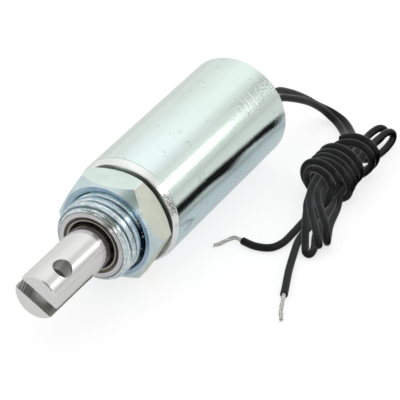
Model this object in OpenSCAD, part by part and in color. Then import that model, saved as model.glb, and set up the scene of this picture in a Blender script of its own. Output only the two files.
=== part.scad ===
// Push pull tubular solenoid lying on its side.
// The axis runs along Y: the plunger's clevis end points to -Y and the push pin to +Y.
// The origin is the centre of the mounting shoulder that the nut clamps a panel against.

/* [Case] */
// Outer diameter of the steel case
case_d = 25; // [24:0.5:32]
// Length of the case from lip to lip
case_l = 49.2; // [46:0.1:62]
// Wall of the case
case_wall = 1.5; // [1:0.1:1.8]
// Length of the tapered rim at the front
rim_l = 1.7; // [1.4:0.1:2.6]
// How much the radius drops over the front rim
rim_drop = 0.35; // [0.2:0.05:0.5]
// Radius of the rolled edges
edge_r = 0.5; // [0.3:0.05:0.9]
// How far the mounting shoulder stands in front of the case
shoulder_proud = 0.1; // [0.05:0.05:1]

/* [Threaded nose] */
// Major diameter of the mounting thread
thread_d = 18; // [16.5:0.1:18.4]
// Length of the threaded nose from the shoulder
nose_l = 13.2; // [11:0.1:17]
// Thickness of the flange behind the shoulder
flange_t = 4; // [3.2:0.1:5]
// Chamfer on the end of the nose, down to the root of the thread
thread_chamfer = 1.3; // [1:0.1:1.6]
// Countersink round the mouth of the bore
mouth_chamfer = 0.6; // [0.2:0.05:0.9]

/* [Mounting nut] */
// Width across the flats
nut_af = 22; // [21:0.1:25]
// Thickness of the nut
nut_t = 7.2; // [6:0.1:8]
// Gap between the nut and the shoulder
nut_gap = 0.1; // [0.05:0.05:1]
// Angle of the nut's first corner above +X
nut_turn = 1.5; // [0:0.5:60]
// Angle of the chamfers that cut the corners
nut_chamfer_angle = 42; // [15:1:45]

/* [Guide tube] */
// Inside diameter of the guide tube
guide_id = 11.3; // [10.8:0.1:11.6]
// Wall of the guide tube
guide_wall = 0.35; // [0.2:0.05:0.45]
// How far the tube's end lies inside the nose
guide_recess = 0.1; // [0.1:0.1:1]

/* [Plunger] */
// Diameter of the shaft with the clevis end
shaft_d = 10; // [8:0.1:11]
// Length of shaft that shows when the plunger is out
shaft_out = 21.1; // [17:0.1:26]
// Working stroke
stroke = 10; // [8:0.1:12]
// Depth inside the nose at which the shaft steps up to the full body
step_in = 7.3; // [5:0.1:9]
// Width of the clevis slot
slot_w = 3; // [2.4:0.1:3.6]
// Depth of the clevis slot from the tip
slot_depth = 14; // [11:0.1:16]
// Diameter of the cross hole through both ears
cross_hole_d = 4.2; // [3:0.1:5]
// Distance from the tip to the centre of the cross hole
cross_hole_back = 6.4; // [5:0.1:7.5]
// How far the edges of that hole are broken
hole_break = 0.2; // [0.1:0.05:0.4]
// Angle of the slot above +X
slot_turn = -31.5; // [-90:0.5:90]

/* [Pole and push pin] */
// Length of the pole core in front of the rear plate
pole_l = 12.7; // [10.5:0.1:15]
// Thickness of the washer that keeps the plunger off the pole
stop_washer_t = 0.5; // [0.3:0.1:1]
// Diameter of the push pin
pin_d = 3; // [2.4:0.1:3.4]
// Length of pin behind the case when the plunger is out
pin_out = 4; // [3:0.1:6]
// Thickness of the pin's retaining clip
clip_t = 0.6; // [0.4:0.05:0.8]

/* [Coil] */
// Wall of the bobbin's hub
hub_wall = 0.9; // [0.7:0.05:1]
// Thickness of the bobbin's flanges
bobbin_flange_t = 1.2; // [0.9:0.1:1.5]
// Length of the bay for the lead joints
joint_bay_l = 3.8; // [3.6:0.1:5]
// Radial build of the copper winding
winding_build = 2.5; // [2:0.1:2.6]
// Thickness of the insulating wrap
wrap_t = 0.25; // [0.1:0.05:0.3]

/* [Rear end] */
// Thickness of the rear plate
plate_t = 4; // [3.2:0.1:5]
// Depth of the rear plate inside the case's rear edge
plate_recess = 0.5; // [0.4:0.1:1]
// Diameter of each lead over its insulation
lead_d = 1.7; // [1.4:0.1:1.8]
// Angle of the lead outlet above +X
outlet_turn = 22; // [0:1:60]

/* [Hidden] */
$fn = 96;

eps = 0.01;
running = 0.05; // radial clearance of a part that slides or turns
seat = 0.02; // radial clearance of a part that is pressed or bonded
stop_gap = 0.3; // what is left before two stops meet

case_r = case_d / 2;
inner_r = case_r - case_wall;
front_edge = shoulder_proud;
rear_edge = front_edge + case_l;
lip_r = inner_r - 0.6; // inner edge of both rolled lips
lip_l = 1.6; // length of case that is rolled over each end piece

thread_r = thread_d / 2;
shoulder_r = lip_r - 0.2;
guide_r = guide_id / 2;
guide_or = guide_r + guide_wall;

nut_front = -nut_gap - nut_t;
nut_r = nut_af / sqrt(3);
nut_face_r = 0.96 * nut_af / 2;
nut_bore_r = thread_r + running;

plate_rear = rear_edge - plate_recess;
plate_front = plate_rear - plate_t;
pole_face = plate_front - pole_l;
tail_r = 3.6; // tail of the pole core that is riveted through the rear plate
tail_head_r = 4.4;
tail_head_t = 0.4;
tail_end = plate_rear + tail_head_t;

shaft_r = shaft_d / 2;
body_r = guide_r - running;
tip = -nose_l - shaft_out;
step = -nose_l + step_in;
plunger_rear = pole_face - stop_washer_t - stop_gap - stroke;
cone_r = 3.6; // truncated cone on the plunger's rear end
cone_end_r = 2.2;
cone_l = 3;
socket_clear = 0.4;
pin_r = pin_d / 2;
pin_grip = 10; // length of pin pressed into the plunger
pin_start = plunger_rear + cone_l - pin_grip;
pin_end = rear_edge + pin_out;
groove_r = pin_r - 0.3;
clip_front = tail_end + stop_gap;
clip_r = pin_r * 2;

spacer_t = 0.6;
rear_spacer_t = 1;
bobbin_front = flange_t + spacer_t;
bobbin_rear = plate_front - rear_spacer_t;
hub_in_r = guide_or + running;
hub_r = hub_in_r + hub_wall;
bobbin_r = inner_r - 0.4;
coil_start = bobbin_front + bobbin_flange_t;
coil_end = bobbin_rear - 2 * bobbin_flange_t - joint_bay_l;
winding_r = min(hub_r + winding_build, bobbin_r - wrap_t - 0.1);

lead_r = lead_d / 2;
lead_gap = 0.1; // gap between the two leads where they run side by side
lead_apart = lead_r + lead_gap / 2; // half the distance between the two leads' centres
outlet_r = (hub_r + inner_r) / 2 - 0.6;
outlet_wall = 0.6;
outlet_lip = 0.45;
outlet_lip_t = 0.6;
rim_gap = 0.05; // gap between the grommet's lip and the case's rolled lip
outlet_end = plate_rear + outlet_lip_t;
outlet_x = outlet_r * cos(outlet_turn);
outlet_z = outlet_r * sin(outlet_turn);
sleeve_r = 2 * lead_apart - lead_r - seat; // as fat as the neighbouring lead lets it be
sleeve_l = joint_bay_l * 0.46;

// Middle line of the two leads from the grommet to the tied hank, and the roll of the pair
run_route = [[outlet_x, outlet_end, outlet_z], [7.8, 52.1, 3], [7.8, 55.1, 2.5], [8.3, 58.6, 0.6],
    [8.9, 62.6, -2], [9.4, 66.6, -5], [10.3, 70.1, -8.2], [12, 72.1, -10.5], [14.9, 71.5, -11.5],
    [18.2, 68.3, -11.4], [20.8, 64.3, -10.6], [22.8, 59.1, -9.8]];
run_roll = [68, 60, 48, 36, 24, 14, 6, 0, 0, 0, 0, 0];
tail_a_route = [[27.2, 34.5, -11.6], [26.8, 30.7, -11.6], [26.6, 25.6, -11.6], [26.4, 21.7, -11.6],
    [25, 18.8, -11.6], [21.8, 17.7, -11.6], [18.5, 18.2, -11.6]];
tail_b_route = [[28.6, 30.3, -11.6], [28.7, 27.1, -11.6], [29.2, 23.3, -11.6], [30.6, 18.5, -11.6],
    [32.4, 13.1, -11.6], [34.6, 7.5, -11.6], [35.6, 4.9, -11.6]];
strands_a_route = [[18.5, 18.2, -11.6], [16.4, 18.6, -11.7], [15.3, 17.3, -11.9], [14.4, 15, -11.9],
    [13.5, 14.1, -11.9]];
strands_b_route = [[35.6, 4.9, -11.6], [36.7, 2, -11.8], [37.9, -0.7, -11.9], [39.3, -3.1, -11.9]];
strands_r = 0.5;

// The tied hank: the flattened barrel of turns, the loops at its two ends and their heights
hank_x = 27;
hank_z = -7.55;
hank_half_w = 6.8;
hank_half_h = 4.95;
hank_y = [39.6, 59.1];

// Turns a shape drawn along Z so that it lies along +Y
module along_y() {
    rotate([-90, 0, 0]) children();
}

// A ring from y = a to y = b
module ring(a, b, r_out, r_in) {
    along_y() translate([0, 0, a]) difference() {
        cylinder(h = b - a, r = r_out);
        translate([0, 0, -eps]) cylinder(h = b - a + 2 * eps, r = r_in);
    }
}

module rod(a, b, r) {
    along_y() translate([0, 0, a]) cylinder(h = b - a, r = r);
}

// Revolves a profile of [radius, y] points
module turned(profile) {
    along_y() rotate_extrude() polygon(profile);
}

// Two round ends and the straight between them, as long as the leads are apart
module pair_outline(r) {
    for (side = [-1, 1]) translate([0, side * lead_apart]) circle(r = r);
    square([2 * r, 2 * lead_apart], center = true);
}

// Places children, drawn in a plane across the axis, at the lead outlet and extrudes them
module at_outlet(a, b) {
    rotate([0, -outlet_turn, 0]) translate([outlet_r, 0, 0]) along_y()
        translate([0, 0, a]) linear_extrude(height = b - a) children();
}

// Steel tube with its front rim tapered and both ends rolled over the end pieces
module case_tube() {
    taper_end = front_edge + rim_l;
    nose_r = case_r - rim_drop;
    color("lightgray") along_y() rotate_extrude() difference() {
        union() {
            polygon([[0, front_edge], [nose_r - edge_r, front_edge], [nose_r, front_edge + edge_r],
                [case_r, taper_end], [case_r, rear_edge - edge_r], [case_r - edge_r, rear_edge],
                [0, rear_edge]]);
            translate([nose_r - edge_r, front_edge + edge_r]) circle(r = edge_r);
            translate([case_r - edge_r, rear_edge - edge_r]) circle(r = edge_r);
        }
        polygon([[0, front_edge - eps], [lip_r, front_edge - eps], [lip_r, front_edge],
            [inner_r, front_edge + lip_l], [inner_r, rear_edge - lip_l], [lip_r, rear_edge],
            [lip_r, rear_edge + eps], [0, rear_edge + eps]]);
    }
}

// Flange that the case's front lip holds, and the threaded nose in one piece with it
module front_bushing() {
    bore_r = guide_or + seat;
    countersink = min(mouth_chamfer, 0.6 * (thread_r - thread_chamfer - bore_r));
    color("silver") difference() {
        turned([[0, -nose_l], [thread_r - thread_chamfer, -nose_l],
            [thread_r, -nose_l + thread_chamfer], [thread_r, 0], [shoulder_r, 0],
            [lip_r - seat, front_edge],
            [inner_r - seat, front_edge + lip_l], [inner_r - seat, flange_t], [0, flange_t]]);
        rod(-nose_l - eps, flange_t + eps, bore_r);
        turned([[0, -nose_l - eps], [bore_r + countersink + eps, -nose_l - eps],
            [bore_r, -nose_l + countersink], [0, -nose_l + countersink]]);
    }
}

// Hexagon nut with both ends chamfered, turned so that a corner lies nut_turn above +X
module mounting_nut() {
    cut = (nut_r - nut_face_r) * tan(nut_chamfer_angle);
    lead_in = 0.6;
    color("gainsboro") difference() {
        intersection() {
            rotate([0, -nut_turn, 0]) along_y() translate([0, 0, nut_front])
                cylinder(h = nut_t, r = nut_r, $fn = 6);
            turned([[0, nut_front], [nut_face_r, nut_front], [nut_r, nut_front + cut],
                [nut_r, -nut_gap - cut], [nut_face_r, -nut_gap], [0, -nut_gap]]);
        }
        rod(nut_front - eps, -nut_gap + eps, nut_bore_r);
        turned([[0, nut_front - eps], [nut_bore_r + lead_in + eps, nut_front - eps],
            [nut_bore_r, nut_front + lead_in], [0, nut_front + lead_in]]);
        turned([[0, -nut_gap + eps], [nut_bore_r + lead_in + eps, -nut_gap + eps],
            [nut_bore_r, -nut_gap - lead_in], [0, -nut_gap - lead_in]]);
    }
}

// Thin stainless steel tube that the plunger slides in, from the nose's mouth onto the pole core
module guide_tube() {
    color("lightgray") ring(-nose_l + guide_recess, pole_face + 5.5, guide_or, guide_r);
}

// Stepped plunger: clevis end with a sawn slot and a cross hole, full body, conical rear end
module plunger() {
    edge = 0.25;
    color("whitesmoke") difference() {
        turned([[0, tip], [shaft_r - edge, tip], [shaft_r, tip + edge], [shaft_r, step],
            [body_r - edge, step], [body_r, step + edge], [body_r, plunger_rear - edge],
            [body_r - edge, plunger_rear], [cone_r, plunger_rear],
            [cone_end_r, plunger_rear + cone_l], [0, plunger_rear + cone_l]]);
        rotate([0, -slot_turn, 0]) {
            translate([-shaft_r - 1, tip - 1, -slot_w / 2])
                cube([2 * shaft_r + 2, slot_depth + 1, slot_w]);
            translate([0, tip + cross_hole_back, -shaft_r - 1])
                cylinder(h = 2 * shaft_r + 2, r = cross_hole_d / 2);
            for (side = [0, 180]) translate([0, tip + cross_hole_back, 0]) rotate([side, 0, 0])
                translate([0, 0, shaft_r - 0.6]) cylinder(h = 0.6 + eps, r1 = cross_hole_d / 2,
                    r2 = cross_hole_d / 2 + hole_break);
        }
        rod(pin_start, plunger_rear + cone_l + eps, pin_r);
    }
}

// Hard pin pressed into the plunger, with a groove for its clip and a chamfered end
module push_pin() {
    chamfer = 0.3;
    color("silver") turned([[0, pin_start], [pin_r, pin_start], [pin_r, clip_front - seat],
        [groove_r, clip_front - seat], [groove_r, clip_front + clip_t + seat],
        [pin_r, clip_front + clip_t + seat], [pin_r, pin_end - chamfer],
        [pin_r - chamfer, pin_end], [0, pin_end]]);
}

// E-shaped spring clip: an open ring with three lugs that reach into the pin's groove
module pin_clip() {
    lug_w = 1.1;
    band_in = clip_r - 0.9;
    color("dimgray") along_y() translate([0, 0, clip_front]) difference() {
        union() {
            difference() {
                cylinder(h = clip_t, r = clip_r);
                translate([0, 0, -eps]) cylinder(h = clip_t + 2 * eps, r = band_in);
                translate([-lug_w, 0, -eps]) cube([2 * lug_w, clip_r + 1, clip_t + 2 * eps]);
            }
            for (turn = [-60, 180, 60]) rotate(turn + 180)
                translate([groove_r, -lug_w / 2, 0]) cube([band_in - groove_r + 0.3, lug_w, clip_t]);
        }
        translate([0, 0, -eps]) cylinder(h = clip_t + 2 * eps, r = groove_r + seat);
    }
}

// Fixed iron core: conical socket in front, bored for the pin, tail riveted in the rear plate
module pole_core() {
    socket_r = cone_r + socket_clear;
    socket_end_r = cone_end_r + socket_clear;
    socket_l = cone_l + socket_clear;
    color("slategray") difference() {
        turned([[0, pole_face], [guide_r - seat, pole_face], [guide_r - seat, plate_front],
            [tail_r, plate_front], [tail_r, plate_rear], [tail_head_r, plate_rear],
            [tail_r, tail_end], [0, tail_end]]);
        turned([[0, pole_face - eps], [socket_r, pole_face - eps],
            [socket_end_r, pole_face + socket_l], [0, pole_face + socket_l]]);
        rod(pole_face, tail_end + eps, pin_r + running);
    }
}

// Thin non-magnetic washer that lies on the pole's face
module stop_washer() {
    color("goldenrod")
        ring(pole_face - stop_washer_t, pole_face, guide_r - seat, cone_r + socket_clear + 0.2);
}

// Moulded bobbin: hub, two end flanges and a third one that closes off the joint bay
module bobbin() {
    notch_w = 2 * (lead_apart + sleeve_r) + 0.4;
    color("ivory") difference() {
        union() {
            ring(bobbin_front, bobbin_rear, hub_r, hub_in_r);
            for (y = [bobbin_front, coil_end, bobbin_rear - bobbin_flange_t])
                ring(y, y + bobbin_flange_t, bobbin_r, hub_in_r);
        }
        rotate([0, -outlet_turn, 0])
            translate([hub_r + 0.05, bobbin_rear - bobbin_flange_t - eps, -notch_w / 2])
                cube([bobbin_r, bobbin_flange_t + 2 * eps, notch_w]);
    }
}

// Layers of enamelled copper wire between the front flange and the joint bay
module winding() {
    color("sienna") ring(coil_start, coil_end, winding_r, hub_r);
}

// Insulating tape over the winding
module coil_wrap() {
    color("gold") ring(coil_start, coil_end, winding_r + wrap_t, winding_r);
}

module front_spacer() {
    color("dimgray") ring(flange_t, bobbin_front, inner_r - 0.1, guide_or + running);
}

// Insulating washer behind the bobbin, pierced where the leads pass
module rear_spacer() {
    color("dimgray") difference() {
        ring(bobbin_rear, plate_front, inner_r - 0.1, guide_r);
        at_outlet(bobbin_rear - 1, plate_front + 1) pair_outline(lead_r + 0.2);
    }
}

// Steel plate that closes the back, held by the case's rear lip
module rear_plate() {
    color("lightgray") difference() {
        turned([[0, plate_front], [inner_r - seat, plate_front],
            [inner_r - seat, rear_edge - lip_l], [lip_r - seat + 0.6 * plate_recess / lip_l, plate_rear],
            [0, plate_rear]]);
        rod(plate_front - eps, plate_rear + eps, tail_r + seat);
        at_outlet(plate_front - 1, plate_rear + 1) pair_outline(lead_r + outlet_wall);
    }
}

// Oval rubber grommet with a lip on the outside and one hole for each lead
module lead_grommet() {
    color("darkslategray") difference() {
        union() {
            at_outlet(plate_front, outlet_end) pair_outline(lead_r + outlet_wall - seat);
            intersection() {
                at_outlet(plate_rear, outlet_end) pair_outline(lead_r + outlet_wall + outlet_lip);
                rod(plate_rear - eps, outlet_end + eps, lip_r - rim_gap);
            }
        }
        at_outlet(plate_front - 1, outlet_end + 1)
            for (side = [-1, 1]) translate([0, side * lead_apart]) circle(r = lead_r + seat);
    }
}

// Crimped sleeve on the end of one lead, and the straight end of that lead out to the grommet
module lead_joint(side) {
    bay_end = bobbin_rear - bobbin_flange_t;
    middle = bay_end - joint_bay_l * (0.5 + side * 0.24);
    at_outlet(middle - sleeve_l / 2, middle + sleeve_l / 2)
        translate([0, side * lead_apart]) circle(r = sleeve_r);
    at_outlet(middle, outlet_end) translate([0, side * lead_apart]) circle(r = lead_r);
}

module lead_joint_a() {
    color("saddlebrown") lead_joint(-1);
}

module lead_joint_b() {
    color("saddlebrown") lead_joint(1);
}

function unit(v) = v / norm(v);

// Point at t from 0 to 1 between p1 and p2 on a smooth curve that also heeds p0 and p3
function smooth(p0, p1, p2, p3, t) = 0.5 * (2 * p1 + (p2 - p0) * t
    + (2 * p0 - 5 * p1 + 4 * p2 - p3) * t * t + (3 * p1 - p0 - 3 * p2 + p3) * t * t * t);

// The route with steps points for each of its stretches
function curve(route, steps) = let (last = len(route) - 1) [
    for (i = [0 : last - 1], s = [0 : steps - 1])
        smooth(route[max(i - 1, 0)], route[i], route[i + 1], route[min(i + 2, last)], s / steps),
    route[last]];

function heading(line, i) = unit(line[min(i + 1, len(line) - 1)] - line[max(i - 1, 0)]);
function left_of(dir) = unit(cross([0, 0, 1], dir));

// The line moved sideways: by distance d towards the left, rolled upwards by roll degrees
function beside(line, roll, d) = [for (i = [0 : len(line) - 1])
    let (dir = heading(line, i), left = left_of(dir), up = cross(dir, left))
        line[i] + d * (cos(roll[i]) * left + sin(roll[i]) * up)];

// A tube of the given radius along a line, as one closed solid with eight sides
module swept(line, r) {
    sides = 8;
    last = len(line) - 1;
    ring_points = [for (i = [0 : last], k = [0 : sides - 1])
        let (dir = heading(line, i), left = left_of(dir), up = cross(dir, left),
            a = 360 * (k + 0.5) / sides)
            line[i] + r * (cos(a) * left + sin(a) * up)];
    walls = [for (i = [0 : last - 1], k = [0 : sides - 1])
        let (a = i * sides + k, b = i * sides + (k + 1) % sides)
            [a, b, b + sides, a + sides]];
    polyhedron(ring_points, concat(walls, [[for (k = [sides - 1 : -1 : 0]) k],
        [for (k = [0 : sides - 1]) last * sides + k]]), convexity = 6);
}

function halved(values) = curve([for (v = values) [v, 0, 0]], 2);

module lead_run(side) {
    roll = [for (v = halved(run_roll)) v[0]];
    color("black") swept(beside(curve(run_route, 2), roll, side * lead_apart), lead_r);
}

module lead_a_run() {
    lead_run(1);
}

module lead_b_run() {
    lead_run(-1);
}

// Two leads folded up and bound with their own turns: a flattened barrel with a loop at each end
module lead_hank() {
    core_w = hank_half_w - hank_half_h;
    color("black") {
        translate([hank_x, 0, hank_z]) along_y() translate([0, 0, hank_y[0]])
            linear_extrude(height = hank_y[1] - hank_y[0]) {
                for (side = [-1, 1]) translate([side * core_w, 0]) circle(r = hank_half_h);
                square([2 * core_w, 2 * hank_half_h], center = true);
            }
        hank_loops([26.9, 56.1], [26.9, 67.5], 3.4, 5.6);
        hank_loops([28.6, 41.1], [33.3, 23.1], 3.1, 6);
    }
}

// Loops that lie flat on the surface from one point to another, w wide each side and h high
module hank_loops(from, to, w, h) {
    reach = norm(to - from);
    translate([from[0], from[1], -case_r]) rotate(atan2(to[1] - from[1], to[0] - from[0]))
        linear_extrude(height = h) {
            for (x = [0, reach]) translate([x, 0]) circle(r = w);
            translate([0, -w]) square([reach, 2 * w]);
        }
}

module lead_a_tail() {
    color("black") swept(tail_a_route, lead_r);
}

module lead_b_tail() {
    color("black") swept(tail_b_route, lead_r);
}

module strands_a() {
    color("silver") swept(strands_a_route, strands_r);
}

module strands_b() {
    color("silver") swept(strands_b_route, strands_r);
}

case_tube();
front_bushing();
mounting_nut();
guide_tube();
plunger();
push_pin();
pin_clip();
pole_core();
stop_washer();
bobbin();
winding();
coil_wrap();
front_spacer();
rear_spacer();
rear_plate();
lead_grommet();
lead_joint_a();
lead_joint_b();
lead_a_run();
lead_b_run();
lead_hank();
lead_a_tail();
lead_b_tail();
strands_a();
strands_b();
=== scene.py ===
import math

import bpy
import numpy as np
from mathutils import Matrix, Vector


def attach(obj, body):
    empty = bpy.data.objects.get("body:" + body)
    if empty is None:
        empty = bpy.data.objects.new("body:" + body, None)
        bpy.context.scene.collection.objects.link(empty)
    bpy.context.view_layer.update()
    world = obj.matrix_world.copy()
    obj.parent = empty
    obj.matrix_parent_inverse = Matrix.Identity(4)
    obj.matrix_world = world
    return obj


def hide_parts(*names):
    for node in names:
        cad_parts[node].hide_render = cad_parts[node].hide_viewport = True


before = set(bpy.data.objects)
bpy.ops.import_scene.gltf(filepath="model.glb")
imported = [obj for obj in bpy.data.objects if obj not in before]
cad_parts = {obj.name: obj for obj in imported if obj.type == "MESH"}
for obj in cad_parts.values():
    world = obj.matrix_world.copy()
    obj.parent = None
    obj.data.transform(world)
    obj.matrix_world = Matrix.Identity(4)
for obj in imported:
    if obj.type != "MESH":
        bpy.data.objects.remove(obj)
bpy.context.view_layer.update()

# ---- Camera ----
# A long lens, about half a metre off, that looks down on the clevis end from the right.
mm = 0.001
azimuth, elevation, roll = (math.radians(a) for a in (29.94, 33.46, -0.65))
looks_at = Vector((8.81, 16.83, -3.37)) * mm
stands_back = 549.4 * mm
lens, film = 230.74, 36

level_right = Vector((math.cos(azimuth), math.sin(azimuth), 0))
backwards = Vector((math.sin(azimuth) * math.cos(elevation), -math.cos(azimuth) * math.cos(elevation), math.sin(elevation)))
level_up = backwards.cross(level_right)
rightwards = math.cos(roll) * level_right + math.sin(roll) * level_up
upwards = backwards.cross(rightwards)
camera = bpy.data.objects.new("camera", bpy.data.cameras.new("camera"))
bpy.context.scene.collection.objects.link(camera)
camera.data.sensor_width, camera.data.lens = film, lens
camera.data.clip_start, camera.data.clip_end = 0.01, 20
turned = Matrix((rightwards, upwards, backwards)).transposed().to_4x4()
camera.matrix_world = Matrix.Translation(looks_at + backwards * stands_back) @ turned
bpy.context.scene.camera = camera

# ---- Leads ----
# Two black flexible leads leave the grommet at the back, fold down to the surface and are tied
# into a hank with four turns of themselves. Each ends in a bare twisted end.
lead_r = 0.85
lead_apart = 0.9
surface_z = -12.5
outlet = (7.765, 49.4, 3.137)
run_route = [outlet, (7.8, 52.1, 3), (7.8, 55.1, 2.5), (8.3, 58.6, 0.6), (8.9, 62.6, -2), (9.4, 66.6, -5),
             (10.3, 70.1, -8.2), (12, 72.1, -10.5), (14.9, 71.5, -11.5), (18.2, 68.3, -11.4), (20.8, 64.3, -10.6),
             (22.8, 59.1, -9.8)]
run_roll = (68, 60, 48, 36, 24, 14, 6, 0, 0, 0, 0, 0)
# Lead A: first pass through the hank, its fold, the pass back, the upper loop, a short inner fold
into_a = [(24.9, 57.3, -9.6), (25.9, 53.1, -7.9), (25.9, 49.1, -6.4), (26.2, 44.1, -6.4), (26.4, 40.7, -7.0),
          (26.7, 38.3, -7.25), (27.7, 35.7, -7.3), (29.3, 33, -7.4), (31.7, 29.8, -7.5), (33.7, 27.3, -7.9),
          (34.8, 25.4, -8.6), (35.3, 24.8, -9.9), (34.8, 26, -11.2), (33.5, 28.9, -11.65), (32.2, 31.9, -11.65),
          (30.9, 35.5, -11.65), (29.7, 39.1, -11.5), (28.9, 42.5, -10.2), (28.4, 47.1, -8.8), (28.3, 52.1, -7.7),
          (28.3, 57.1, -7.2), (28.2, 61.4, -7.7), (28.3, 64.7, -8.0), (28.6, 67.5, -8.2), (29.1, 69.4, -9.1),
          (29.3, 69.4, -10.6), (29.1, 67.5, -11.5), (28.9, 64.1, -11.65), (28.2, 60.6, -11.4), (26.9, 57.7, -10.3),
          (26.0, 54.1, -9.9), (25.8, 48.1, -9.9), (26.2, 42.1, -9.6), (26.7, 38.4, -9.7), (27.5, 35.4, -9.9),
          (28.6, 33.9, -9.95), (29.2, 35.5, -9.8), (28.3, 38.7, -9.3), (27.3, 42.6, -8.3), (26.3, 48.1, -8.1),
          (25.3, 53.1, -8.1), (24.7, 56.7, -7.6), (23.9, 57.7, -6.4)]
out_a = [(29.5, 39.4, -9.6), (28.0, 37.7, -10.7), (27.2, 34.5, -11.6), (26.8, 30.7, -11.6), (26.6, 25.6, -11.6),
         (26.4, 21.7, -11.6), (25, 18.8, -11.6), (21.8, 17.7, -11.6), (18.5, 18.2, -11.6)]
# Lead B: the same with one long fold more at the lower end
into_b = [(23.7, 56.3, -8.9), (24.3, 52.6, -7.4), (24.1, 48.6, -6.7), (24.2, 44.1, -6.9), (24.3, 40.9, -7.2),
          (24.8, 38.3, -7.4), (25.8, 35.3, -7.7), (27.4, 32.4, -7.9), (29.9, 28.7, -8.0), (32.5, 25.1, -8.1),
          (34.2, 22.6, -8.5), (34.9, 22, -9.6), (33.9, 24.1, -10.2), (32.4, 27.3, -10.1), (31, 30.9, -10.1),
          (29.8, 34.6, -10.2), (28.9, 38.6, -10.1), (28.0, 42.6, -9.3), (26.8, 49.1, -8.0), (26.5, 54.1, -7.2),
          (26.4, 57.6, -7.0), (25.9, 60.6, -7.6), (25.6, 62.8, -8.0), (25.8, 66, -8.0), (26.4, 68.3, -8.1),
          (27.1, 69.6, -9.1), (26.8, 69.3, -10.5), (26.0, 67.1, -11.5), (25.0, 63.9, -11.65), (24.7, 60.6, -11.3),
          (24.9, 56.5, -10.3), (24.3, 53.1, -9.9), (24.0, 48.1, -9.8), (23.9, 43.6, -9.2), (23.8, 40.6, -9.0),
          (24.4, 38.4, -9.3), (25.4, 35.5, -9.6), (26.6, 32.7, -9.8), (27.9, 29.3, -10.1), (29.5, 26, -10.6),
          (31.3, 22.6, -11.2), (32.5, 20.6, -11.5), (33.5, 20.6, -11.6), (33.1, 23.3, -11.65), (31.4, 27.1, -11.65),
          (30.1, 31.1, -11.65), (29.0, 35.5, -11.65), (27.8, 39.4, -11.3), (26.9, 43.1, -9.9), (26.3, 49.1, -9.7),
          (25.4, 54.1, -8.9), (24.2, 56.5, -7.9), (23.2, 56.7, -6.5)]
out_b = [(28.7, 37.5, -9.4), (28.1, 36, -10.7), (28.2, 33.3, -11.6), (28.6, 30.3, -11.6), (28.7, 27.1, -11.6),
         (29.2, 23.3, -11.6), (30.6, 18.5, -11.6), (32.4, 13.1, -11.6), (34.6, 7.5, -11.6), (35.6, 4.9, -11.6)]


def smooth_line(points, steps):
    """Catmull-Rom curve through the points: on each stretch half of
    2 p1 + (p2 - p0) t + (2 p0 - 5 p1 + 4 p2 - p3) t^2 + (3 p1 - p0 - 3 p2 + p3) t^3."""
    points = np.asarray(points, float)
    ends = np.vstack([points[:1], points, points[-1:]])
    p0, p1, p2, p3 = (ends[i:len(ends) - 3 + i, None] for i in range(4))
    t = (np.arange(steps) / steps)[None, :, None]
    line = 0.5 * (2 * p1 + (p2 - p0) * t + (2 * p0 - 5 * p1 + 4 * p2 - p3) * t ** 2
                  + (3 * p1 - p0 - 3 * p2 + p3) * t ** 3)
    return np.vstack([line.reshape(-1, 3), points[-1:]])


def axes_along(line):
    """For each point the unit direction of travel, the level one to its left and the one above."""
    ahead = np.gradient(line, axis=0)
    ahead /= np.linalg.norm(ahead, axis=1)[:, None]
    left = np.cross((0, 0, 1), ahead)
    left /= np.linalg.norm(left, axis=1)[:, None]
    return ahead, left, np.cross(ahead, left)


def evenly(line, spacing):
    """The line with points at equal distances along it."""
    along = np.concatenate([[0], np.cumsum(np.linalg.norm(np.diff(line, axis=0), axis=1))])
    at = np.linspace(0, along[-1], int(round(along[-1] / spacing)) + 1)
    return np.stack([np.interp(at, along, line[:, i]) for i in range(3)], axis=1)


def wraps(side, half_width, half_height):
    """Four turns round the hank. A turn is an ellipse across it, x = middle - a cos(angle),
    z = middle + b sin(angle), which leans along y, and each step to the next turn is made below."""
    angle = np.radians(np.arange(40, 1256, 15))
    turn = np.clip((angle - np.pi / 2) / (2 * np.pi), 0, 3)
    step = np.clip((turn % 1 - 0.3) / 0.4, 0, 1)
    turn = np.floor(turn) + step * step * (3 - 2 * step)

    def of_turn(*values):
        return np.interp(turn, range(4), values)

    across = -np.cos(angle)
    y = of_turn(54.4, 48.7, 44.2, 41.7) - of_turn(-0.8, 0.8, 0.8, 1.1) * across
    x = of_turn(26.9, 25.9, 26.0, 25.25) + of_turn(*half_width) * across
    z = -7.55 + of_turn(*half_height) * np.sin(angle)
    return np.stack([x, y + side * of_turn(1.1, 1.25, 0.85, 1.0), z], axis=1)


run = smooth_line(run_route, 2)
turn_of_pair = np.radians(np.interp(np.arange(len(run)) / 2, range(len(run_roll)), run_roll))[:, None]
_, left, above = axes_along(run)
sideways = lead_apart * (np.cos(turn_of_pair) * left + np.sin(turn_of_pair) * above)
lead_lines = [
    evenly(smooth_line(np.vstack([(run + sideways)[::2], into_a, wraps(1, (4.6, 5.2, 5.3, 4.8), (4.1,) * 4), out_a]), 8), 0.9),
    evenly(smooth_line(np.vstack([(run - sideways)[::2], into_b, wraps(-1, (4.6, 5.2, 5.3, 3.6), (4.1, 4.1, 4.1, 3.4)), out_b]), 8), 0.9),
]


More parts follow.
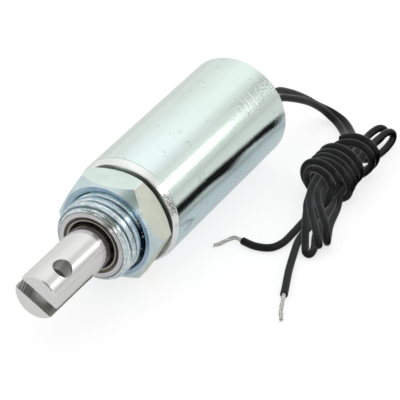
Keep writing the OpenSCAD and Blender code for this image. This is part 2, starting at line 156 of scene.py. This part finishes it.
def settle(lines, thickness, rounds=90):
    """Pushes strands apart until none overlap: each pair of points nearer than the thickness
    moves away from each other by half of what is missing, and the moves are evened out along
    each lead. Nothing goes below the surface, and both ends of each lead stay."""
    start = np.vstack(lines)
    lead = np.repeat(range(len(lines)), [len(line) for line in lines])
    place = np.concatenate([np.arange(len(line)) for line in lines])
    near = (lead[:, None] == lead[None]) & (np.abs(place[:, None] - place[None]) < 4)
    held = np.concatenate([np.clip(np.minimum(np.arange(len(line)) - 14, len(line) - 6 - np.arange(len(line))) / 12, 0, 1)
                           for line in lines])[:, None]
    moved = start.copy()
    for _ in range(rounds):
        gap = moved[:, None] - moved[None]
        distance = np.linalg.norm(gap, axis=2) + 1e-9
        short = np.where(near, 0, np.clip(thickness - distance, 0, None))
        push = (gap / distance[..., None] * (short * 0.25)[..., None]).sum(axis=1)
        shift = (moved - start + push) * held
        soft = shift.copy()
        soft[1:-1] = 0.5 * shift[1:-1] + 0.25 * (shift[2:] + shift[:-2])
        moved = start + soft * 0.995 * held
        moved[:, 2] = np.maximum(moved[:, 2], surface_z + lead_r)
    return np.split(moved, np.cumsum([len(line) for line in lines])[:-1])


lead_lines = settle(lead_lines, 2 * lead_r + 0.02)
lead_lines = [evenly(smooth_line(line, 4), 0.35) for line in lead_lines]


class Shade:
    """Wraps one output socket; + - * / on it add Math nodes, and node() adds any other node."""

    def __init__(self, tree, socket=None):
        self.tree, self.socket = tree, socket

    def node(self, kind, settings=(), inputs=(), out=0):
        """Adds a node: its settings are set first, then the values or links of its sockets."""
        made = self.tree.nodes.new("ShaderNode" + kind)
        for name, value in dict(settings).items():
            if name == "stops":
                while len(made.color_ramp.elements) < len(value):
                    made.color_ramp.elements.new(0)
                for element, (position, colour) in zip(made.color_ramp.elements, value):
                    element.position, element.color = position, colour
            else:
                setattr(made, name, value)
        for name, value in dict(inputs).items():
            if isinstance(value, Shade):
                self.tree.links.new(value.socket, made.inputs[name])
            else:
                made.inputs[name].default_value = value
        return Shade(self.tree, made.outputs[out]) if len(made.outputs) else None

    def maths(self, operation, *others):
        return self.node("Math", {"operation": operation}, dict(enumerate((self,) + others)))

    def __add__(self, other):
        return self.maths("ADD", other)

    def __sub__(self, other):
        return self.maths("SUBTRACT", other)

    def __rsub__(self, other):
        return self.node("Math", {"operation": "SUBTRACT"}, {0: other, 1: self})

    def __mul__(self, other):
        return self.maths("MULTIPLY", other)

    def __truediv__(self, other):
        return self.maths("DIVIDE", other)

    __radd__, __rmul__ = __add__, __mul__

    def between(self, low, high, to_low=0.0, to_high=1.0):
        """Runs from to_low to to_high as the value goes from low to high, eased at both ends."""
        return self.node("MapRange", {"interpolation_type": "SMOOTHSTEP"},
                         {"Value": self, "From Min": low, "From Max": high, "To Min": to_low, "To Max": to_high})

    def near(self, middle, half, soft):
        """1 within half of the middle, falling to 0 over the next soft."""
        return 1 - (self - middle).maths("ABSOLUTE").between(half, half + soft)

    def mixed(self, first, second):
        """The first colour where the value is 0, the second where it is 1."""
        return self.node("Mix", {"data_type": "RGBA"}, {0: self, 6: first, 7: second}, out=2)


def shown(r, g, b):
    """The linear colour of a screen colour given from 0 to 255."""
    return tuple((v / 255) ** 2.2 for v in (r, g, b)) + (1.0,)


def noise(shade, size, stretch=(1, 1, 1), detail=2.0, rough=0.5, at=None):
    """Noise in the piece's own coordinates, with patches about size millimetres across."""
    at = at or shade.node("TexCoord", out="Object")
    place = shade.node("Mapping", inputs={"Vector": at, "Scale": tuple(1 / (size * mm * s) for s in stretch)})
    return shade.node("TexNoise", inputs={"Vector": place, "Scale": 1.0, "Detail": detail, "Roughness": rough})


def make_material(name, paint, **fixed):
    """A Principled material: fixed values go on its sockets, and paint gives what varies."""
    material = bpy.data.materials.new(name)
    material.use_nodes = True
    shader = material.node_tree.nodes["Principled BSDF"]
    for socket, value in fixed.items():
        shader.inputs[socket.replace("_", " ")].default_value = value
    for socket, value in paint(Shade(material.node_tree)).items():
        material.node_tree.links.new(value.socket, shader.inputs[socket])
    return material


def bump(shade, height, distance, strength=1.0):
    """A normal from a height between 0 and 1, distance millimetres deep."""
    return shade.node("Bump", inputs={"Height": height, "Distance": distance * mm, "Strength": strength})


def paint_lead(shade):
    cloud = noise(shade, 6, detail=3)
    speck = noise(shade, 0.35, detail=2)
    dust = cloud.between(0.48, 0.75) * 0.6 + speck.between(0.45, 0.8) * 0.4
    return {
        "Base Color": dust.mixed((0.002, 0.002, 0.002, 1), (0.012, 0.012, 0.012, 1)),
        "Roughness": cloud.between(0.3, 0.7, 0.26, 0.40),
        "Normal": bump(shade, speck * 0.6 + cloud * 0.4, 0.03, 0.5),
    }


lead_black = make_material("lead_black", paint_lead, Specular_IOR_Level=0.22)


def tube_curve(name, line, radius, material):
    """A round cord along a line, as one open curve whose bevel is its radius."""
    curve = bpy.data.curves.new(name, "CURVE")
    curve.dimensions = "3D"
    spline = curve.splines.new("POLY")
    spline.points.add(len(line) - 1)
    spline.points.foreach_set("co", np.hstack([line * mm, np.ones((len(line), 1))]).ravel())
    spline.use_smooth = True
    curve.bevel_depth, curve.bevel_resolution = radius * mm, 5
    curve.use_fill_caps = True
    curve.materials.append(material)
    cord = bpy.data.objects.new(name, curve)
    bpy.context.scene.collection.objects.link(cord)
    return cord


def mesh_object(name, points, faces, material, smooth=True):
    """A mesh from points in millimetres and whole arrays of faces."""
    mesh = bpy.data.meshes.new(name)
    mesh.from_pydata(np.asarray(points) * mm, [], [list(map(int, f)) for f in faces])
    mesh.polygons.foreach_set("use_smooth", np.full(len(mesh.polygons), smooth))
    mesh.materials.append(material)
    mesh.update()
    made = bpy.data.objects.new(name, mesh)
    bpy.context.scene.collection.objects.link(made)
    return made


def tube_grid(line, radius, sides):
    """Rings of points round a line and the quads between them, closed at both ends."""
    _, left, above = axes_along(line)
    angle = 2 * np.pi * np.arange(sides)[None, :, None] / sides
    ring = line[:, None] + radius * (np.cos(angle) * left[:, None] + np.sin(angle) * above[:, None])
    corner = np.arange(len(line) - 1)[:, None] * sides + np.arange(sides)
    beside = np.arange(len(line) - 1)[:, None] * sides + (np.arange(sides) + 1) % sides
    quads = np.stack([corner, beside, beside + sides, corner + sides], axis=2).reshape(-1, 4)
    caps = [list(range(sides))[::-1], list(range((len(line) - 1) * sides, len(line) * sides))]
    return ring.reshape(-1, 3), quads.tolist() + caps


def paint_tin(shade):
    speck = noise(shade, 0.22, detail=2)
    return {
        "Base Color": speck.between(0.35, 0.65).mixed((0.30, 0.29, 0.27, 1), (0.92, 0.91, 0.88, 1)),
        "Roughness": speck.between(0.3, 0.7, 0.22, 0.4),
    }


tinned = make_material("tinned_strands", paint_tin, Metallic=0.85)


def twisted_end(name, route):
    """Seven fine wires: one straight, and six on a circle round it that turn once in 3 mm."""
    line = evenly(smooth_line(route, 12), 0.12)
    _, left, above = axes_along(line)
    along = np.arange(len(line)) * 0.12
    points, faces = [], []
    for wire in range(7):
        turn = wire * np.pi / 3 + along * 2 * np.pi / 3
        out = 0 if wire == 6 else 0.30 + 0.05 * np.sin(along * 1.7 + wire * 2)
        path = line + (out * np.cos(turn))[:, None] * left + (out * np.sin(turn))[:, None] * above
        cut = len(path) - (wire * 5) % 7
        ring, quads = tube_grid(path[:cut], 0.14, 8)
        faces += [[i + sum(map(len, points)) for i in quad] for quad in quads]
        points.append(ring)
    return mesh_object(name, np.vstack(points), faces, tinned)


strands_a = twisted_end("strands_a_wires", [(19.2, 18.1, -11.6), (18.5, 18.2, -11.6), (16.4, 18.6, -11.7),
                                            (15.3, 17.3, -11.9), (14.4, 15, -11.9), (13.5, 14.1, -11.9)])
strands_b = twisted_end("strands_b_wires", [(35.3, 5.6, -11.6), (35.6, 4.9, -11.6), (36.7, 2, -11.8),
                                            (37.9, -0.7, -11.9), (39.3, -3.1, -11.9)])
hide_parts("strands_a")
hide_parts("strands_b")
lead_a = tube_curve("lead_a", lead_lines[0], lead_r, lead_black)
lead_b = tube_curve("lead_b", lead_lines[1], lead_r, lead_black)
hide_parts("lead_a_run", "lead_a_tail", "lead_hank")
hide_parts("lead_b_run", "lead_b_tail")
for lead, strands, line in ((lead_a, strands_a, lead_lines[0]), (lead_b, strands_b, lead_lines[1])):
    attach(lead, "solenoid")
    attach(strands, "solenoid")

# ---- Case and rear plate ----
# Deep drawn steel cup, zinc plated, with its front rim drawn in. The plate behind is plated too.


def dress(material, *nodes):
    for node in nodes:
        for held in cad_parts[node].material_slots:
            held.material = material


def axes_of(shade):
    """x, y and z in millimetres, and the angle round the axis in degrees from +Z towards +X."""
    place = shade.node("TexCoord", out="Object")
    x, y, z = (shade.node("SeparateXYZ", inputs={"Vector": place}, out=axis) * 1000 for axis in "XYZ")
    return place, x, y, z, x.maths("ARCTAN2", z) * (180 / math.pi)


def paint_case(shade):
    place, x, y, z, round_axis = axes_of(shade)
    streak = noise(shade, 0.45, (1, 50, 1), 3, 0.6, place)
    grain = noise(shade, 0.26, (1, 1.2, 1), 2, 0.6, place)
    cloud = noise(shade, 6, (1, 3, 1), 3, 0.55, place)
    # Towards the back, along the highlight, the zinc is duller and rougher, and its colour there is also darkened as
    # painted shade that dims the highlight.
    dull_and_painted_shade = (y + (cloud - 0.5) * 14).between(25, 44) * round_axis.near(44, 7, 7)
    # Fine scratches round the case, painted white only along the highlight, as painted glints.
    scratch_glints = (y + round_axis * 0.02).near(38.3, 0.03, 0.09) + (y + round_axis * 0.03).near(40.2, 0.05, 0.1) \
        + (y + round_axis * 0.02).near(41.9, 0.04, 0.12) + (y + round_axis * 0.02).near(14.2, 0.03, 0.09) * 0.7
    scratch_glints = scratch_glints * round_axis.near(43, 8, 4)
    hair = noise(shade, 1.6, (1, 1, 1), 2, 0.5, place).near(0.5, 0.004, 0.010) * noise(shade, 3.5, at=place).between(0.56, 0.66)
    recess = 1 - y.between(0.13, 0.17)
    # Painted shade: dark speckles on the rim's right side, beside the nut.
    speckled_painted_shade = round_axis.near(62, 9, 8) * y.near(0.9, 0.5, 0.5) * grain.between(0.40, 0.55)
    # Painted shade in the seam between rim and tube, left out along the highlight.
    seam_painted_shade = y.near(1.85, 0.03, 0.09) * (1 - round_axis.near(44, 8, 8)) * 0.6
    # Painted reflection: the lower side, which faces the floor, is tinted bluer.
    lower_side_painted_reflection = round_axis.between(72, 92)
    # Brighter and bluer near the top at the front, fading towards the back.
    brighter_front_top = round_axis.near(12, 14, 16) * (1 - y.between(2, 40) * 0.65)
    light = ((streak - 0.5) * 0.35 + (cloud - 0.5) * 0.6 + 0.5).between(0.25, 0.75)
    zinc = brighter_front_top.mixed(light.mixed(shown(222, 238, 228), shown(236, 250, 243)), shown(240, 255, 252))
    zinc = lower_side_painted_reflection.mixed(zinc, shown(208, 230, 234))
    zinc = (dull_and_painted_shade * grain.between(0.58, 0.44) * 0.7).mixed(zinc, shown(160, 168, 160))
    zinc = seam_painted_shade.mixed(zinc, shown(120, 126, 120))
    # Painted highlight on the rim's rounded edge.
    zinc = (y.near(0.9, 0.7, 0.2) * 0.7).mixed(zinc, shown(255, 253, 250))
    zinc = (speckled_painted_shade * 0.9).mixed(zinc, shown(110, 116, 110))
    # Painted light and shade on the recessed front face beside the nut: pale at the top and left, shaded towards the
    # right.
    recess_painted_shade = round_axis.between(8, 40, 0.0, 0.8) + (grain - 0.5) * 0.6
    zinc = recess.mixed(zinc, recess_painted_shade.mixed(shown(250, 255, 252), shown(150, 156, 148)))
    zinc = scratch_glints.mixed(zinc, shown(255, 255, 255))
    return {
        "Base Color": (hair * 0.5).mixed(zinc, shown(130, 140, 134)),
        "Roughness": dull_and_painted_shade * 0.12 + recess * 0.3 + streak.between(0.3, 0.7, 0.07, 0.12) * round_axis.between(58, 66, 1, 0.5),
        "Normal": bump(shade, grain + streak * 0.1, 0.03, 0.6),
    }


zinc_case = make_material("zinc_case", paint_case, Metallic=1.0)
dress(zinc_case, "case_tube", "rear_plate")

# ---- Threaded nose ----
# Turned steel bushing with a right-hand thread of 2 mm pitch, its end chamfered down to the root.
# The thread is a helical groove in one closed surface with the bore, the shoulder and the flange.
bore, flange_end = 6.02, 4
groove_pitch, groove_deep, groove_half, root_half = 2.0, 0.70, 0.60, 0.12
groove_at = -10.0
nose_end, crest = -13.2, 9.0
along_nose = np.arange(nose_end + 0.05, -0.45, 0.05)
outline = np.array([(bore, -12.6), (bore, -12.9), (6.60, -13.19), (6.64, nose_end), (6.9, nose_end),
                    (7.2, nose_end), (7.5, nose_end), (7.68, nose_end)]
                   + [(crest, y) for y in along_nose]
                   + [(crest, 0), (10.2, 0), (10.38, 0.1), (10.98, 1.7), (10.98, flange_end), (bore, flange_end)])
turn = np.radians(np.arange(0, 360, 1.5))
away, height = (np.repeat(outline[:, i:i + 1], len(turn), axis=1) for i in range(2))
cut = (height - groove_at) / groove_pitch - turn / (2 * np.pi)
off_groove = np.abs(cut - np.round(cut)) * groove_pitch
sunk = np.clip((groove_half - off_groove) / (groove_half - root_half), 0, 1)
sunk = sunk * sunk * (3 - 2 * sunk) * np.clip((-0.7 - height) / 0.5, 0, 1)
threaded = (height > nose_end + 0.01) & (height < -0.4) & (away == crest)
away = np.where(threaded, np.minimum(crest - groove_deep * sunk, 7.7 + (height - nose_end)), away)
nose_points = np.stack([away * np.sin(turn), height, away * np.cos(turn)], axis=2).reshape(-1, 3)


def closed_grid(rows, columns):
    """Quads of a grid whose last row joins its first, and whose last column joins its first."""
    row, column = np.meshgrid(np.arange(rows), np.arange(columns), indexing="ij")
    below, beside = (row + 1) % rows * columns, (column + 1) % columns
    corners = [row * columns + column, row * columns + beside, below + beside, below + column]
    return np.stack(corners, axis=2).reshape(-1, 4)


def paint_nose(shade):
    place, x, y, z, round_axis = axes_of(shade)
    out = (x * x + z * z).maths("SQRT")
    groove = shade.node("Attribute", {"attribute_name": "groove"}, out="Fac")
    grain = noise(shade, 0.25, (1, 1, 1), 3, 0.7, place)
    chatter = noise(shade, 0.13, (14, 1, 14), 3, 0.7, place)
    nicks_and_glints = noise(shade, 0.8, (1, 1, 1), 2, 0.6, place)
    side = (chatter * 0.8 + nicks_and_glints * 0.2).between(0.38, 0.62).mixed(shown(176, 202, 210), shown(248, 255, 255))
    # The thread's groove is darkened, as dirt and painted shade.
    side = groove.between(0.15, 0.95, 0, 0.9).mixed(side, shown(66, 84, 98))
    shadow = (y + 7.45 + round_axis.near(92, 8, 36) * 0.75).between(-0.1, 0.1) * round_axis.near(92, 20, 30)
    side = shadow.mixed(side, shown(20, 32, 46))
    # Small nicks on the crests, painted white as glints.
    side = (nicks_and_glints.between(0.58, 0.68) * (1 - groove) * 0.7).mixed(side, shown(255, 255, 255))
    # Painted reflection: dark streaks near the nose's end, from the top round to the right, where it reflects the dark
    # gap in the tent.
    painted_dark_reflection = (1 - y.between(-12.5, -11.9)) * round_axis.near(26, 24, 26) * chatter.between(0.62, 0.40)
    side = (painted_dark_reflection * 0.85).mixed(side, shown(104, 106, 98))
    rings = noise(shade, 0.13, (1, 1, 1), 2, 0.6, shade.node("CombineXYZ", inputs={"X": out * 0.001}))
    face = rings.between(0.40, 0.60).mixed(shown(190, 190, 192), shown(246, 244, 246))
    # Dark rings on the end face; those at its outer and inner edges are painted edge shade.
    line = out.near(7.72, 0.04, 0.08) * 0.8 + out.near(6.72, 0.02, 0.06) * 0.7 + out.near(7.3, 0.01, 0.05) * 0.4
    on_face = 1 - y.between(-13.19, -13.12)
    # Painted shade: the bore and its chamfer are dark.
    mouth = 1 - out.between(6.60, 6.66)
    return {
        "Base Color": mouth.mixed((line * (1 - y.between(-13.1, -12.9))).mixed(on_face.mixed(side, face), shown(96, 98, 98)),
                                  shown(92, 88, 80)),
        "Roughness": grain.between(0.3, 0.7, 0.12, 0.24),
        "Normal": bump(shade, grain * 0.4 + chatter, 0.03, 0.6),
    }


nose = mesh_object("threaded_nose", nose_points, closed_grid(len(outline), len(turn)),
                   make_material("zinc_nose", paint_nose, Metallic=1.0))
groove = nose.data.attributes.new("groove", "FLOAT", "POINT")
groove.data.foreach_set("value", np.where(threaded, sunk, 0).ravel())
nose.data.set_sharp_from_angle(angle=math.radians(34))
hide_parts("front_bushing")
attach(nose, "solenoid")

# ---- Mounting nut ----
# Pressed hexagon nut with both ends chamfered. Its zinc looks cream on the flats, bluer in front.


def paint_nut(shade):
    place, x, y, z, round_axis = axes_of(shade)
    facing = 0 - shade.node("SeparateXYZ", inputs={"Vector": shade.node("TexCoord", out="Normal")}, out="Y")
    out = (x * x + z * z).maths("SQRT")
    grain = noise(shade, 0.22, (1, 1, 1), 3, 0.7, place)
    cloud = noise(shade, 2.6, (1, 1, 1), 2, 0.5, place)
    pink = noise(shade, 0.8, (1, 1, 1), 2, 0.6, place).between(0.5, 0.7) * round_axis.between(28, 32)
    cream = (cloud * 0.6 + grain * 0.4).between(0.38, 0.62)
    flats = cream.mixed(shown(224, 240, 232), shown(232, 248, 240))
    right = cream.mixed(shown(214, 222, 206), shown(226, 232, 216))
    flats = (pink * 0.5).mixed(round_axis.between(28, 29).mixed(flats, right), shown(244, 238, 236))
    # Painted highlight along the corner between the top and right flats.
    flats = round_axis.near(28.5, 0.2, 0.5).mixed(flats, shown(255, 255, 255))
    ring = cloud.between(0.3, 0.7).mixed(shown(166, 190, 208), shown(178, 198, 218))
    chamfer = cloud.between(0.3, 0.7).mixed(shown(206, 224, 228), shown(218, 236, 238))
    # Painted shade on the faces that look back towards the case.
    rear_painted_shade = (0 - facing).between(0.2, 0.6)
    return {
        "Base Color": rear_painted_shade.mixed(facing.between(0.3, 0.6).mixed(flats, facing.between(0.75, 0.95).mixed(chamfer, ring)),
                                   shown(96, 104, 96)),
        "Roughness": facing.between(0.3, 0.6, 0.36, 0.22) + grain.between(0.3, 0.7, -0.04, 0.04),
        "Normal": bump(shade, grain * 0.6 + cloud * 0.4, 0.02, 0.5),
    }


dress(make_material("zinc_nut", paint_nut, Metallic=1.0), "mounting_nut")

# ---- Plunger ----
# Turned and nickel plated, with a sawn slot whose walls keep the curved marks of the saw.
slot_lean = math.radians(31.5)


def paint_plunger(shade):
    place, x, y, z, round_axis = axes_of(shade)
    grain = noise(shade, 0.22, (1, 1, 1), 3, 0.7, place)
    streak = noise(shade, 0.35, (1, 30, 1), 3, 0.6, place)
    smear = noise(shade, 0.9, (1, 1.2, 1), 3, 0.6, place)
    across = x * math.sin(slot_lean) + z * math.cos(slot_lean)
    wide = x * math.cos(slot_lean) - z * math.sin(slot_lean)
    from_tip = y + 34.3
    wall = across.near(0, 1.58, 0.1) * (1 - from_tip.between(13.9, 14.0)) * from_tip.between(0.02, 0.1)
    arc = wide + from_tip * 0.29
    marks = noise(shade, 0.20, (1, 1, 1), 2, 0.6, shade.node("CombineXYZ", inputs={"X": arc * 0.001}))
    # Near the mouth the shaft is darkened, from the top round to the right, as dirt and painted shade.
    dirt_and_painted_shade = (y + (smear - 0.5) * 1.4).between(-15.2, -14.3) * round_axis.near(38, 46, 26)
    dirt_and_painted_shade = dirt_and_painted_shade * (1 - noise(shade, 0.4, at=place).between(0.60, 0.68) * (1 - y.between(-14.1, -13.6)))
    scratch = (round_axis - y * 0.9).near(82.5, 0.25, 0.5) * y.near(-17, 1.6, 0.6) \
        + (round_axis - y * 0.7).near(91.5, 0.2, 0.4) * y.near(-20.3, 1.6, 0.8) * 0.5
    light = ((streak - 0.5) * 0.6 + (grain - 0.5) * 0.3 + 0.5).between(0.2, 0.8)
    metal = light.mixed(shown(226, 226, 224), shown(242, 242, 241))
    # Scratches and the painted shade near the mouth darken the metal.
    scratches_and_painted_shade = (dirt_and_painted_shade * 0.85 + scratch * 0.5).maths("MINIMUM", 1.0)
    sawn = marks.between(0.44, 0.56).mixed(shown(110, 110, 106), shown(255, 255, 252))
    sawn = (wide.between(-4.2, 2.0) * 0.85).mixed(sawn, shown(206, 206, 200))
    bored = 1 - (wide * wide + (y + 27.9) * (y + 27.9)).maths("SQRT").between(2.12, 2.2)
    bored = bored * (1 - (x * x + z * z).maths("SQRT").between(4.85, 4.95))
    # Painted light on the cross hole's wall: white on one side, grey elsewhere.
    sawn = bored.mixed(sawn, wide.between(1.2, 1.8).mixed(shown(186, 186, 184), shown(255, 255, 255)))
    wall = wall.maths("MAXIMUM", bored)
    return {
        "Base Color": wall.mixed(scratches_and_painted_shade.mixed(metal, shown(116, 116, 112)), sawn),
        "Roughness": wall * 0.2 + dirt_and_painted_shade * 0.12 + streak.between(0.3, 0.7, 0.10, 0.16),
        "Normal": bump(shade, grain + wall * marks * 3, 0.008, 0.5),
    }


dress(make_material("plunger_plate", paint_plunger, Metallic=1.0), "plunger")

# ---- Guide tube, push pin and its clip ----
# Drawn stainless tube, a ground steel pin and a dark spring clip in the pin's groove.


def plain_metal(name, dark, bright, rough_low, rough_high, stretch, deep=0.006, metallic=1.0):
    def paint(shade):
        place = shade.node("TexCoord", out="Object")
        grain = noise(shade, 0.2, stretch, 3, 0.65, place)
        cloud = noise(shade, 2.5, (1, 1, 1), 2, 0.5, place)
        return {
            "Base Color": (grain * 0.6 + cloud * 0.4).between(0.3, 0.7).mixed(dark, bright),
            "Roughness": cloud.between(0.3, 0.7, rough_low, rough_high),
            "Normal": bump(shade, grain, deep, 0.5),
        }
    return make_material(name, paint, Metallic=metallic)


dress(plain_metal("tube_steel", shown(160, 158, 150), shown(188, 186, 176), 0.4, 0.5, (20, 1, 20), 0.006, 0.6), "guide_tube")
dress(plain_metal("pin_steel", shown(190, 191, 194), shown(222, 223, 226), 0.12, 0.2, (12, 1, 12)), "push_pin")
dress(plain_metal("spring_steel", shown(70, 70, 72), shown(104, 104, 106), 0.3, 0.42, (1, 1, 1)), "pin_clip")

# ---- Pole, stop washer, coil and bobbin ----
# The inner parts: turned iron, brass, enamelled copper under tape, nylon and fibre.
dress(plain_metal("core_iron", shown(120, 122, 126), shown(162, 164, 168), 0.28, 0.4, (20, 1, 20), 0.012), "pole_core")
dress(plain_metal("washer_brass", shown(196, 164, 98), shown(226, 196, 128), 0.2, 0.32, (1, 1, 1)), "stop_washer")
dress(plain_metal("copper_wire", shown(172, 84, 46), shown(214, 122, 74), 0.25, 0.35, (30, 1.5, 30), 0.1), "winding")


def plain_stuff(name, dark, bright, rough_low, rough_high, deep=0.02):
    def paint(shade):
        place = shade.node("TexCoord", out="Object")
        grain = noise(shade, 0.3, (1, 1, 1), 3, 0.6, place)
        cloud = noise(shade, 3, (1, 1, 1), 2, 0.5, place)
        return {
            "Base Color": (grain * 0.4 + cloud * 0.6).between(0.3, 0.7).mixed(dark, bright),
            "Roughness": grain.between(0.3, 0.7, rough_low, rough_high),
            "Normal": bump(shade, grain, deep, 0.5),
        }
    return make_material(name, paint)


dress(plain_stuff("coil_tape", shown(196, 152, 40), shown(224, 182, 70), 0.2, 0.3), "coil_wrap")
dress(plain_stuff("bobbin_nylon", shown(222, 214, 190), shown(238, 232, 212), 0.4, 0.5), "bobbin")
dress(plain_stuff("fibre", shown(58, 52, 50), shown(84, 76, 72), 0.7, 0.85, 0.04), "front_spacer", "rear_spacer")
dress(plain_stuff("grommet_rubber", shown(22, 22, 22), shown(44, 44, 44), 0.55, 0.7), "lead_grommet")
dress(tinned, "lead_joint_a", "lead_joint_b")

# ---- Floor, world ----
# A white sweep in a light tent with one bright strip over the object, and a dark gap in the tent
# where the camera looks in.
floor_mesh = bpy.data.meshes.new("floor")
floor_mesh.from_pydata([(x, y, surface_z * mm) for x, y in ((-8, -8), (8, -8), (8, 8), (-8, 8))], [], [(0, 1, 2, 3)])
floor = bpy.data.objects.new("floor", floor_mesh)
bpy.context.scene.collection.objects.link(floor)
floor_material = bpy.data.materials.new("floor_white")
floor_material.use_nodes = True
floor_material.node_tree.nodes.clear()
paper = Shade(floor_material.node_tree)
seen = paper.node("LightPath", out="Is Camera Ray")
mirrored = paper.node("LightPath", out="Is Glossy Ray")
lit = paper.node("BsdfDiffuse", inputs={"Color": (seen + mirrored).mixed((0.9, 0.9, 0.9, 1), (0.4, 0.4, 0.4, 1))})
glow = paper.node("Emission", inputs={"Color": (1, 1, 1, 1), "Strength": seen * 0.72 + mirrored * 0.40})
paper.node("OutputMaterial", inputs={"Surface": paper.node("AddShader", inputs={0: lit, 1: glow})})
floor_mesh.materials.append(floor_material)

# A bright panel over the case and a dark card beside it, both seen only in reflections


def card(name, corners, paint_card):
    mesh = bpy.data.meshes.new(name)
    mesh.from_pydata([tuple(v * mm for v in corner) for corner in corners], [], [range(len(corners))])
    mesh.materials.append(bpy.data.materials.new(name))
    mesh.materials[0].use_nodes = True
    mesh.materials[0].node_tree.nodes.clear()
    shade = Shade(mesh.materials[0].node_tree)
    shade.node("OutputMaterial", inputs={"Surface": paint_card(shade)})
    made = bpy.data.objects.new(name, mesh)
    bpy.context.scene.collection.objects.link(made)
    made.visible_camera = made.visible_diffuse = made.visible_shadow = False


def paint_panel(shade):
    y = shade.node("SeparateXYZ", inputs={"Vector": shade.node("TexCoord", out="Object")}, out="Y") * 1000
    return shade.node("Emission", inputs={"Color": (1, 1, 1, 1), "Strength": y.between(200, 232, 2.2, 0.8)})


card("bright_panel", [(162, -200, 91), (162, 236, 91), (138, 236, 125), (138, -200, 125)], paint_panel)
# The dark card is a painted reflection: it puts on the case the dark band that the leads' reflection would give, and
# the leads are kept out of reflections.
outline = [(37, 20), (37, 46), (29, 47), (36, 62), (30, 66), (27, 69), (40, 85), (59, 92), (60, 84), (91, 106),
           (98, 102), (116, 112), (116, 92)]
card("dark_card", [(x, y, surface_z + 0.1) for x, y in outline],
     lambda shade: shade.node("BsdfDiffuse", inputs={"Color": (0.012, 0.012, 0.013, 1)}))
lead_a.visible_glossy = lead_b.visible_glossy = False

world = bpy.data.worlds.new("studio")
bpy.context.scene.world = world
world.use_nodes = True
world.node_tree.nodes.clear()
sky = Shade(world.node_tree)
towards = sky.node("TexCoord", out="Generated")
sky_x, sky_y, sky_z = (sky.node("SeparateXYZ", inputs={"Vector": towards}, out=axis) for axis in "XYZ")
lean = sky_x.maths("ARCTAN2", sky_z) / math.pi + 0.5
tent = [(-90, 0.82), (-65, 0.80), (-45, 0.86), (-17, 0.96), (7, 0.95), (19, 0.80), (31, 0.73), (42, 0.86),
        (66, 0.86), (79, 0.58), (90, 0.72)]
profile = sky.node("ValToRGB", {"stops": [(0.5 + a / 180, (v / 2, v / 2, v / 2, 1)) for a, v in tent]}, {"Fac": lean})
in_front = 1 - sky_y.between(-0.5, 0.1)
facing_camera = sky_x * backwards.x + sky_y * backwards.y + sky_z * backwards.z
around = in_front.mixed(profile, (0.42, 0.42, 0.42, 1))
tone = facing_camera.between(0.88, 0.97).mixed(around, (0.16, 0.17, 0.155, 1))
seen = sky.node("LightPath", out="Is Camera Ray")
background = sky.node("Background", inputs={"Color": seen.mixed(tone, (0.5, 0.5, 0.5, 1)), "Strength": 2.0})
sky.node("OutputWorld", inputs={"Surface": background})

bpy.context.scene.view_settings.view_transform = "Standard"
